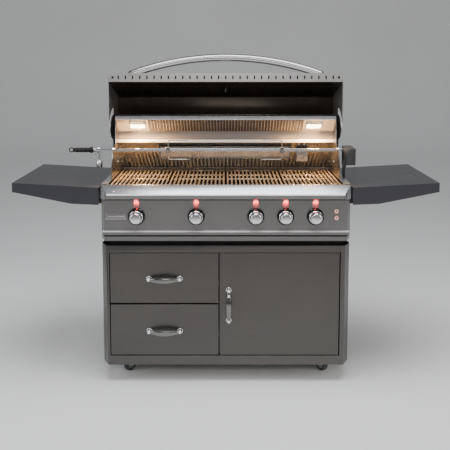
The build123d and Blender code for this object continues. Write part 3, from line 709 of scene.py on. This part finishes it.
def makePulls():
    for name, body, center, upright in (("upperPullBow", "upper_drawer", (-285, 0, 500), False),
                                        ("lowerPullBow", "lower_drawer", (-285, 0, 250), False),
                                        ("doorPullBow", "door", (14, 0, 373.5), True)):
        stands = body.replace("_drawer", "") + "_pull"
        arch, feet = archedPull(center, upright)
        addPiece(name, arch, "pullChrome", body, (stands,))
        addPiece(name.replace("Bow", "Feet"), feet, "chrome", body)


# the hood's closed front leans back: its run, rise and slope make a right triangle
hoodSide = {"y": 35.0, "z": 950.0, "run": 80.0, "rise": 315.0, "slope": 325.0}
hoodOut = np.array([0.0, -hoodSide["rise"] / hoodSide["slope"], hoodSide["run"] / hoodSide["slope"]])


# point on the hood's closed front at height share s, pushed out square by off
def hoodFront(s, off=0.0):
    y, z = hoodSide["y"] + hoodSide["run"] * s, hoodSide["z"] + hoodSide["rise"] * s
    return y + hoodOut[1] * off, z + hoodOut[2] * off


handleLook = {"half": 475.0, "out": 103.9, "r": 18.5, "share": 0.316, "post": 13.6}


# one arc: off(x) follows the circle through both feet and the crown; the round
# section shrinks as a quarter circle over each end
def makeHoodHandle():
    look = handleLook
    r, low = look["r"], look["r"] + 0.3
    rise = look["out"] - low
    radius = (look["half"] ** 2 + rise ** 2) / (2 * rise)
    reach = np.arcsin(look["half"] / radius)
    bend = np.linspace(-reach, reach, 81)
    dome = np.linspace(np.pi / 2, 0, 8, endpoint=False)
    past = r * np.sin(dome) / radius
    bend = np.concatenate([-reach - past, bend, reach + past[::-1]])
    width = np.concatenate([r * np.cos(dome), np.full(81, r), r * np.cos(dome)[::-1]])
    x, off = radius * np.sin(bend), look["out"] - radius * (1 - np.cos(bend))
    y, z = hoodFront(look["share"], off)
    bar = tube(np.stack([x, y, z], -1), np.maximum(width, 0.1), 40, (0, hoodSide["run"], hoodSide["rise"]))
    foot = np.array([0.0, *hoodFront(look["share"], 0.3)])
    p = look["post"]
    posts = [turned([(0.1, 0), (p + 0.2, 0), (p + 0.4, 0.8), (p, 2.0), (p, 17.5), (0.1, 17.6)],
                    foot + np.array([side * look["half"], 0, 0]), hoodOut, 36) for side in (-1, 1)]
    addPiece("hoodHandleBow", swungOpen([bar] + posts), "handleSteel", "hood",
             ("hood_handle",))


makePulls()
makeHoodHandle()
print("handles made")


# cooking grates
grateLook = {"wide": 271.6, "pitch": 19.4, "bars": 14, "r": 4.6, "top": 935.0, "front": 45.0, "back": 510.0,
             "crossYs": (50, 247, 360, 505), "crossZ": 924.4, "crossR": 2.7, "crossPast": 3.0}


# bar of round section whose ends close in a half round
def roundBar(centre, axis, low, high, r, steps, around):
    b = np.linspace(0, np.pi / 2, steps)
    start = np.stack([np.maximum(r * np.sin(b), 0.05), low + r - r * np.cos(b)], -1)
    end = np.stack([np.maximum(r * np.cos(b), 0.05), high - r + r * np.sin(b)], -1)
    return turned(np.concatenate([start, end]), centre, axis, around)


def makeGrates():
    look = grateLook
    for i in range(4):
        middle = (i - 1.5) * look["wide"]
        first = middle - (look["bars"] - 1) / 2 * look["pitch"]
        last = first + (look["bars"] - 1) * look["pitch"]
        parts = [roundBar((first + k * look["pitch"], 0, look["top"] - look["r"]), (0, 1, 0),
                          look["front"], look["back"], look["r"], 4, 12) for k in range(look["bars"])]
        parts += [roundBar((0, y, look["crossZ"]), (1, 0, 0), first - look["crossPast"],
                           last + look["crossPast"], look["crossR"], 3, 10) for y in look["crossYs"]]
        node = f"grate_{i + 1}"
        addPiece(f"grate{i + 1}Bars", parts, "grateSteel", node, (node,))


makeGrates()
print("grates made")


# rear burner, lamps and igniter
burnerLook = {"low": (-352, 490, 990), "high": (342, 516, 1054), "flat": 8.8, "upright": 7.8, "tiles": 6,
              "tileX": -343.4, "tilePitch": 112.8, "tileWide": 111.6, "wireR": 0.7}
igniterLook = {"low": (371, 487.5, 974), "high": (433, 516, 1045), "wireY": 486.9, "wireR": 0.55}


def makeRearBurner():
    look = burnerLook
    (x0, y0, z0), (x1, y1, z1) = look["low"], look["high"]
    flat, upright = look["flat"], look["upright"]
    case = [softBox((x0, y0, z1 - flat), (x1, y1, z1), 1.5), softBox((x0, y0, z0), (x1, y1, z0 + flat), 1.5),
            softBox((x0, y0, z0), (x0 + upright, y1, z1), 1.5),
            softBox((x1 - upright, y0, z0), (x1, y1, z1), 1.5)]
    addPiece("rearBurnerCase", case, "canopySteel", "cart", ("rear_burner",))
    tiles = []
    for k in range(look["tiles"]):
        x = look["tileX"] + k * look["tilePitch"]
        tiles.append(softBox((x, 498, 999.6), (x + look["tileWide"], 511, 1044.4), 1.0, 2))
    addPiece("rearBurnerTiles", tiles, "tile", "cart")
    wires = [wire((-340 + k * 14.0, 494, 999), (0, 0, 1), 45.6, look["wireR"]) for k in range(49)]
    wires += [wire((-343.6, 495.6, 1004 + k * 9), (1, 0, 0), 677, look["wireR"]) for k in range(5)]
    addPiece("rearBurnerGuard", wires, "zinc", "cart")
    look = igniterLook
    case = [softBox(look["low"], look["high"], 2.0)]
    addPiece("igniterCase", case, "canopySteel", "cart")
    y, r = look["wireY"], look["wireR"]
    mesh = [wire((377 + k * 5, y, 979.5), (0, 0, 1), 60, r) for k in range(11)]
    mesh += [wire((376, y, 981 + k * 5.2), (1, 0, 0), 52, r) for k in range(12)]
    addPiece("igniterMesh", mesh, "zinc", "cart")


# bolt head: six-sided prism with a domed top, seen as r(t) of a hexagon
def boltHead(place, axis, r=4.0, h=3.0):
    def hexagon(t, a):
        k = np.mod(t, np.pi / 3) - np.pi / 6
        return np.cos(np.pi / 6) / np.cos(k) * np.ones_like(a)
    profile = [(0.05, 0), (r * 1.25, 0.02), (r * 1.25, 0.6), (r, 0.8), (r, h * 0.85), (r * 0.86, h),
               (0.05, h)]
    return turned(profile, place, axis, 24, hexagon)


# slab: eight corners given by x, by distance along the slope and by distance off it
def slopeSlab(heart, slope, square, xs, along, off):
    loop = ((xs[0], off[0]), (xs[1], off[0]), (xs[1], off[1]), (xs[0], off[1]))
    corners = [heart + np.array([x, 0, 0]) + a * slope + o * square for a in along for x, o in loop]
    return np.array(corners), gridFaces(2, 4)


lampLook = {"x": 441.0, "y": 330.6, "z": 1178.6, "run": 95.0, "drop": 68.0, "long": 36.0, "wide": 20.0,
            "frameLong": 41.0, "frameWide": 26.0, "bulge": 2.2, "rib": 0.25, "ribs": 40, "back": 2.2,
            "frameOut": 1.6}


# lens: z(u, v) bulges as (1 - u^6)(1 - v^4) with fine cosine ribs, inside a flat frame
def makeLamps():
    look = lampLook
    run, drop = look["run"], look["drop"]
    slope = np.array([0.0, run, -drop]) / np.hypot(run, drop)
    square = np.array([0.0, -drop, -run]) / np.hypot(run, drop)
    uu, vv = np.meshgrid(np.linspace(-1, 1, 25), np.linspace(-1, 1, 13), indexing="ij")
    n, m = uu.shape
    quads = patchFaces(n, m)
    rim = np.concatenate([np.arange(m), np.arange(1, n) * m + m - 1, (n - 1) * m + np.arange(m - 2, -1, -1),
                          np.arange(n - 2, 0, -1) * m])
    faces = quads.tolist() + (quads[:, ::-1] + n * m).tolist()
    faces += [[int(b), int(a), int(a) + n * m, int(b) + n * m] for a, b in zip(rim, np.roll(rim, -1))]
    lenses, frames = [], []
    for side in (-1, 1):
        heart = np.array([side * look["x"], look["y"], look["z"]])
        flat = heart + uu[..., None] * np.array([look["long"], 0, 0]) + vv[..., None] * slope * look["wide"]
        bulge = look["bulge"] * (1 - uu ** 6) * (1 - vv ** 4) + look["rib"] * np.cos(uu * look["ribs"])
        front, back = flat + bulge[..., None] * square, flat - look["back"] * square
        lenses.append((np.concatenate([front.reshape(-1, 3), back.reshape(-1, 3)]), faces))
        a, b, c, d = look["long"], look["frameLong"], look["wide"], look["frameWide"]
        for xs, along in (((-b, b), (-d, -c)), ((-b, b), (c, d)), ((-b, -a), (-c, c)), ((a, b), (-c, c))):
            frames.append(slopeSlab(heart, slope, square, xs, along, (-look["back"], look["frameOut"])))
    addPiece("lampLensGlass", lenses, "lampGlow", "cart", ("lamp_lenses",))
    addPiece("lampFrames", frames, "canopySteel", "cart")


slotLook = {"y": 333.5, "z": 1181.5, "run": 93.0, "drop": 69.0, "pitch": 14.9, "bars": 51, "deep": 2.4,
            "wide": 4.4, "reach": 53.0, "lift": 0.9}


# slotted hood of the rear burner: a dark sheet behind as painted shade in the slots, and rounded bars along
# its slope
def makeSlotBars():
    look = slotLook
    run, drop, half, reach = look["run"], look["drop"], look["wide"] / 2, look["reach"]
    slope = np.array([0.0, run, -drop]) / np.hypot(run, drop)
    square = np.array([0.0, -drop, -run]) / np.hypot(run, drop)
    sideways = np.array([1.0, 0, 0])
    heart = np.array([0.0, look["y"], look["z"]])
    t = np.linspace(0, np.pi, 9)
    ends = np.array([-reach, reach])
    bars = []
    for k in range(look["bars"]):
        x = (k - (look["bars"] - 1) / 2) * look["pitch"]
        arch = x * sideways + half * np.cos(t)[:, None] * sideways
        arch = arch + (look["lift"] + look["deep"] * np.sin(t))[:, None] * square
        base = np.array([[x - half, 0, 0], [x + half, 0, 0]]) + 0.2 * square
        outline = np.concatenate([arch, base])
        verts = heart + outline[None] + ends[:, None, None] * slope
        bars.append((verts.reshape(-1, 3), gridFaces(2, len(outline))))
    addPiece("canopySlotBars", bars, "rimSteel", "cart")
    wide = (look["bars"] + 1) / 2 * look["pitch"]
    quad = np.array([[-wide, -reach], [wide, -reach], [wide, reach], [-wide, reach]])
    flat = heart + quad[:, :1] * sideways + quad[:, 1:] * slope
    verts = np.concatenate([flat + 0.25 * square, flat + 0.7 * square])
    addPiece("canopySlotShade", [(verts, gridFaces(2, 4))], "slotDark", "cart")


makeRearBurner()
makeLamps()
makeSlotBars()
print("burner and lamps made")


# spit
spitLook = {"y": 230.0, "z": 1072.0, "left": -640.0, "right": 591.5, "half": 6.0, "grooves": 4,
            "ringX": -754.0, "ringR": 10.0, "ringWire": 2.4, "weightX": -618.0, "hub": 13.0, "hole": 6.4,
            "hubLong": 9.0, "tineOff": 47.0, "tineLong": 105.0, "tineTip": 17.0, "tineR": 2.4, "bend": 9.0}
rightward = (1, 0, 0)


def makeSpitBar():
    look = spitLook
    y, z, half = look["y"], look["z"], look["half"]
    parts = [softBox((look["left"], y - half, z - half), (look["right"], y + half, z + half), 1.2, 2)]
    bush = [(0.1, -8), (7.6, -7.8), (9.1, -6.6), (9.1, -4), (7.4, -2.2), (7.4, 2.2), (9.1, 4), (9.1, 6.6),
            (7.6, 7.8), (0.1, 8)]
    for x in (-545, 545):
        parts.append(turned(bush, (x, y, z), rightward, 32))
    collar = [(0.1, -646), (9, -645.8), (10, -644.6), (10, -635.6), (9, -634.2), (0.1, -634)]
    parts.append(turned(collar, (0, y, z), rightward, 32))
    addPiece("spitBar", parts, "chrome", "spit", ("spit_rod",))


# grip radius swells and dips along its length like finger grooves, with a hanging ring at its end
def makeSpitGrip():
    look = spitLook
    y, z = look["y"], look["z"]
    a = np.linspace(0, 1, 40)
    r = 11.4 + 0.55 * np.cos(a * 2 * np.pi * look["grooves"]) - 2.2 * np.clip(a * 6 - 5, 0, 1) ** 2
    grip = np.stack([r, -662 - 82 * a], -1)[::-1]
    neck = [(11.2, -661.5), (14.4, -661), (14.9, -659.5), (14.9, -651.5), (14.4, -650.2), (11, -649.6),
            (10, -646.6), (0.1, -646.4)]
    hold = turned(np.concatenate([[(0.1, -745)], [(6, -744.8)], grip, neck]), (0, y, z), rightward, 36)
    t = circle(32)
    s = circle(12)
    heart = np.array([look["ringX"], y, z])
    out = np.stack([np.cos(t), np.zeros_like(t), np.sin(t)], -1)
    section = np.cos(s)[None, :, None] * out[:, None, :] + np.sin(s)[None, :, None] * np.array([0, 1.0, 0])
    ring = (heart + look["ringR"] * out)[:, None, :] + look["ringWire"] * section
    loop = (ring.reshape(-1, 3), gridFaces(len(t), len(s), wrapRows=True))
    addPiece("spitGripHold", [hold, loop], "blackGrip", "spit", ("spit_grip",))


def makeSpitWeight():
    heart = (spitLook["weightX"], spitLook["y"], spitLook["z"])
    disc = [(0.1, -9), (14, -9), (14.8, -8), (14.8, 8), (14, 9), (0.1, 9)]
    ball = [(0.1, -87), (13.6, -86.8), (14.8, -85), (14.8, -53.4), (13.4, -51.4), (6, -51), (5, -48),
            (0.1, -48)]
    weight = [turned(disc, heart, rightward, 36),
              turned([(0.1, -52), (3.9, -52), (3.9, -10), (0.1, -10)], heart, (0, 0, 1), 20),
              turned(ball, heart, (0, 0, 1), 36)]
    addPiece("spitWeight", weight, "chrome", "spit", ("counterweight",))


# knurled grip of the fork's thumbscrew: twelve shallow waves round it
def knurl(t, a):
    return 1 + 0.05 * np.cos(12 * t) * np.ones_like(a)


# fork: square hub round the bar, two bent tines that narrow at the tip, and a thumbscrew
def makeSpitForks():
    look = spitLook
    y, z, long, hub, hole = look["y"], look["z"], look["hubLong"], look["hub"], look["hole"]
    quarter = np.linspace(0, np.pi / 2, 8)
    head = [(0.1, 37.5), (7.8, 37.6), (8.5, 38.6), (8.5, 42.4), (7.8, 43.4), (0.1, 43.6)]
    for side, x, aim in (("left", -281.0, 1), ("right", 274.0, -1)):
        walls = (((-hub, -hub), (-hole, hub)), ((hole, -hub), (hub, hub)),
                 ((-hub, hole), (hub, hub)), ((-hub, -hub), (hub, -hole)))
        parts = [softBox((x - long, y + low[0], z + low[1]), (x + long, y + high[0], z + high[1]), 1.5)
                 for low, high in walls]
        for s in (-1, 1):
            tine, tip = z + s * look["tineOff"], x + aim * look["tineLong"]
            bentX = x + aim * look["bend"] * (1 - np.cos(quarter))
            bentZ = tine - s * look["bend"] * (1 - np.sin(quarter))
            bent = np.stack([bentX, np.full(len(quarter), y), bentZ], -1)
            ends = [(tip - aim * look["tineTip"], y, tine), (tip, y, tine)]
            path = np.concatenate([[(x, y, z + s * 12)], bent, ends])
            r = np.full(len(path), look["tineR"])
            r[-1] = 0.4
            parts.append(tube(path, r, 14, (0, 1, 0)))
        parts.append(turned([(0.1, 8), (4, 8), (4, 38), (0.1, 38)], (x, y, z), forward, 20))
        parts.append(turned(head, (x, y, z), forward, 48, knurl))
        node = f"spit_fork_{side}"
        addPiece(f"spitFork{side.title()}Tines", parts, "tineSteel", node, (node,))


makeSpitBar()
makeSpitGrip()
makeSpitWeight()
makeSpitForks()
print("spit made")


# casters
casterLook = {"x": 480.0, "frontY": 112.0, "rearY": 468.0, "trail": 26.0, "r": 39.0, "crown": 1.4,
              "edge": 1.2, "boltRing": 17.0, "bolts": 5, "discOut": 8.6, "nutOut": 17.4}


# tyre: crowned tread section turned about the axle; hub: dished disc with five bolts
def makeWheels():
    look = casterLook
    x, r = look["x"], look["r"]
    a = np.linspace(-1, 1, 11)
    tread = r - look["crown"] * np.abs(a) ** 4 - look["edge"] * a ** 2 * (np.abs(a) > 0.9)
    crown = np.stack([tread, 11.2 * a], -1)
    tyre = np.concatenate([[(27, -12.4), (35.5, -12.8)], crown, [(35.5, 12.8), (27, 12.4)]])
    half = [(27.2, 12.0), (25, 12.2), (22, 9.4), (12, 8.6), (9.5, 12.4), (4.1, 12.8)]
    hub = [(27.2, -12.0)] + half + [(rr, -out) for rr, out in half[:0:-1]]
    for end, side, place, y, turn in (("front", "left", -x, look["frontY"], 60),
                                      ("front", "right", x, look["frontY"], 120),
                                      ("rear", "left", -x, look["rearY"], 90),
                                      ("rear", "right", x, look["rearY"], 90)):
        node, base = f"{end}_wheel_{side}", f"{end}Wheel{side.title()}"
        c, s = np.cos(np.radians(turn)), np.sin(np.radians(turn))
        heart = np.array([place + look["trail"] * c, y + look["trail"] * s, r])
        axis = np.array([-s, c, 0.0])
        addPiece(base + "Tyre", [turnedRing(tyre, heart, axis, 64)], "rubber", node, (node,))
        parts = [turnedRing(hub, heart, axis, 48)]
        _, across, up = squareTo(axis)
        for k in range(look["bolts"]):
            b = 2 * np.pi * k / look["bolts"]
            spot = heart + look["boltRing"] * (np.cos(b) * across + np.sin(b) * up)
            parts.append(boltHead(spot + axis * look["discOut"], axis, 2.2, 2.0))
            parts.append(boltHead(spot - axis * look["discOut"], -axis, 2.2, 2.0))
        addPiece(base + "Hub", parts, "zinc", node)
        body = f"caster_{side}" if end == "front" else "cart"
        nuts = [boltHead(heart + axis * look["nutOut"], axis, 5.5, 3.2),
                boltHead(heart - axis * look["nutOut"], -axis, 5.5, 3.2)]
        addPiece(base + "AxleNuts", nuts, "zinc", body)


makeWheels()
print("casters made")


# thermometer and small hardware
dialLook = {"share": 0.46, "faceR": 35.4, "marks": 31, "first": 225, "step": 9, "each": 5, "longMark": 8.0,
            "shortMark": 4.0, "markR": 33.0, "needle": 200}


def makeThermometer():
    look, axis = dialLook, hoodOut
    heart = np.array([0, *hoodFront(look["share"], 0.3)])
    ring = [(0.2, 0), (37, 0), (38.6, 1), (39.8, 4), (39.8, 15.4), (39, 17.2), (37.6, 17.8), (36.4, 17),
            (35.8, 12), (0.2, 12)]
    case = turnedRing(ring, heart, axis, 64)
    probe = turned([(0.05, -65), (3, -64), (3.9, -60), (3.9, 0), (0.05, 0)], heart, axis, 20)
    nut = boltHead(heart - axis * 52, -axis, 9, 6)
    addPiece("thermometerCase", swungOpen([case]), "handleSteel", "hood", ("thermometer",))
    addPiece("thermometerProbe", swungOpen([probe, nut]), "darkChrome", "hood")
    r = look["faceR"]
    face = turned([(0.05, 12.1), (r, 12.1), (r, 12.8), (0.05, 12.9)], heart, axis, 64)
    addPiece("thermometerFace", swungOpen([face]), "dialFace", "hood")
    side = np.array([1.0, 0, 0])
    up = np.cross(axis, side)

    def towards(degrees):
        return np.cos(np.radians(degrees)) * side - np.sin(np.radians(degrees)) * up

    marks = []
    for k in range(look["marks"]):
        d = towards(look["first"] - k * look["step"])
        length = look["longMark"] if k % look["each"] == 0 else look["shortMark"]
        marks.append(wire(heart + axis * 13.0 + d * (look["markR"] - length), d, length, 0.8, 0.05))
    marks.append(turned([(0.05, -6), (1.3, -5.8), (1.0, 8), (0.3, 25), (0.05, 26)], heart + axis * 14.2,
                        towards(look["needle"]), 8))
    marks.append(turned([(0.05, 12.8), (3, 12.9), (3, 15), (0.05, 15.4)], heart, axis, 20))
    addPiece("thermometerMarks", swungOpen(marks), "darkGap", "hood")


boltLook = {"canopyX": 542.8, "canopySpots": ((470, 980), (470, 1040), (330, 1000)),
            "igniterXs": (388, 416), "igniterY": 519.8, "igniterZ": 1062, "backXs": (-510, 170, 7),
            "backY": 545.1, "backZs": (925, 640, 120), "capX": 572.9, "capR": 8, "capH": 2.8}


def makeHardware():
    look = boltLook
    bolts = [boltHead((side * look["canopyX"], y, z), (-side, 0, 0), 3.4, 2.4)
             for side in (-1, 1) for y, z in look["canopySpots"]]
    bolts += [boltHead((x, look["igniterY"], look["igniterZ"]), forward, 3.2, 2.4) for x in look["igniterXs"]]
    first, pitch, count = look["backXs"]
    bolts += [boltHead((first + k * pitch, look["backY"], z), (0, 1, 0), 4, 2.6)
              for k in range(count) for z in look["backZs"]]
    addPiece("cartBolts", bolts, "zinc", "cart")
    caps = [boltHead((side * look["capX"], *hoodPivot), (side, 0, 0), look["capR"], look["capH"])
            for side in (-1, 1)]
    addPiece("hingeCaps", caps, "chrome", "hood")


flangeLook = {"low": (-562, 8, 2.3), "high": (562, 39, 2.9)}


# thin dark sheet of painted shade that closes the row of slots in the hood's flange from inside
def makeFlangeShadeSheet():
    foot = np.array([0.0, *hoodFront(0)])
    sheet = softBox(foot + flangeLook["low"], foot + flangeLook["high"], 0.2, 1)
    addPiece("hoodFlangeShadeSheet", swungOpen([sheet]), "darkGap", "hood")


makeThermometer()
makeHardware()
makeFlangeShadeSheet()
print("dial and bolts made")


# sheet metal with eased edges (body, finish, ease in mm, bands) and finishes on what stays
easedLook = {
    # the cart frame's dark bands below and above the collar are painted shade in its recessed neck
    "cart_face_frame": ("cart", "cartSteel", 1.0,
                        ((655.5, 680.6, "darkGap"), (679.4, 701.6, "panelSteel"), (700.4, 714, "darkGap"))),
    "upper_drawer": ("upper_drawer", "doorSteel", 1.4, ()),
    "lower_drawer": ("lower_drawer", "doorSteel", 1.4, ()),
    "door": ("door", "doorSteel", 1.4, ()),
    # the rim's nose band and the top of the panel's lip are painted highlight in the near-white steel
    "front_rim": ("cart", "rimSteel", 1.6, ((870, 896.4, "panelSteel"), (895.2, 904.6, "lipSteel"))),
    "control_panel": ("cart", "panelSteel", 2.4, ((723.5, 728.0, "lipSteel"),)),
    "shelf_left": ("shelf_left", "shelfSteel", 1.4, ()),
    "shelf_right": ("shelf_right", "shelfSteel", 1.4, ()),
    "hood_shell": ("hood", "hoodSteel", 0.7, ()),
    "hood_liner": ("hood", "linerSteel", 0.6, ()),
    # the canopy's band at 1093 to 1107 mm is painted highlight in the same near-white steel
    "rear_canopy": ("cart", "canopySteel", 0.7,
                    ((1093.4, 1107.4, "lipSteel"), (1106.5, 1148.5, "badgeSteel"),
                     (1214.2, 1232.6, "rimSteel"))),
    "spit_motor": ("cart", "motorSteel", 1.2, ()),
    "firebox": ("cart", "tubSteel", 0.6, ((934.5, 937, "hoodSteel"),)),
    "drip_tray": ("drip_tray", "tubSteel", 0.6, ()),
}
keptLook = {
    "cartSteel": ("cart_carcass",), "tubSteel": ("main_burners", "flame_tamers"),
    "zinc": ("drawer_rails", "rear_caster_forks", "brake_left", "brake_right"),
    "brass": ("gas_valves", "gas_manifold", "stem_1", "stem_2", "stem_3", "stem_4", "stem_5"),
    # the caster forks take the near-white steel as painted highlight where they sit in the cart's shadow
    "lipSteel": ("caster_fork_left", "caster_fork_right"),
}
for node, (body, look, width, bands) in easedLook.items():
    easedNode(node, body, finish[look], width, bands)
for look, nodes in keptLook.items():
    for node in nodes:
        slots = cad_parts[node].data.materials
        if len(slots) == 0:
            slots.append(finish[look])
        for i in range(len(slots)):
            slots[i] = finish[look]
print("sheet metal finished")

bpy.context.view_layer.update()
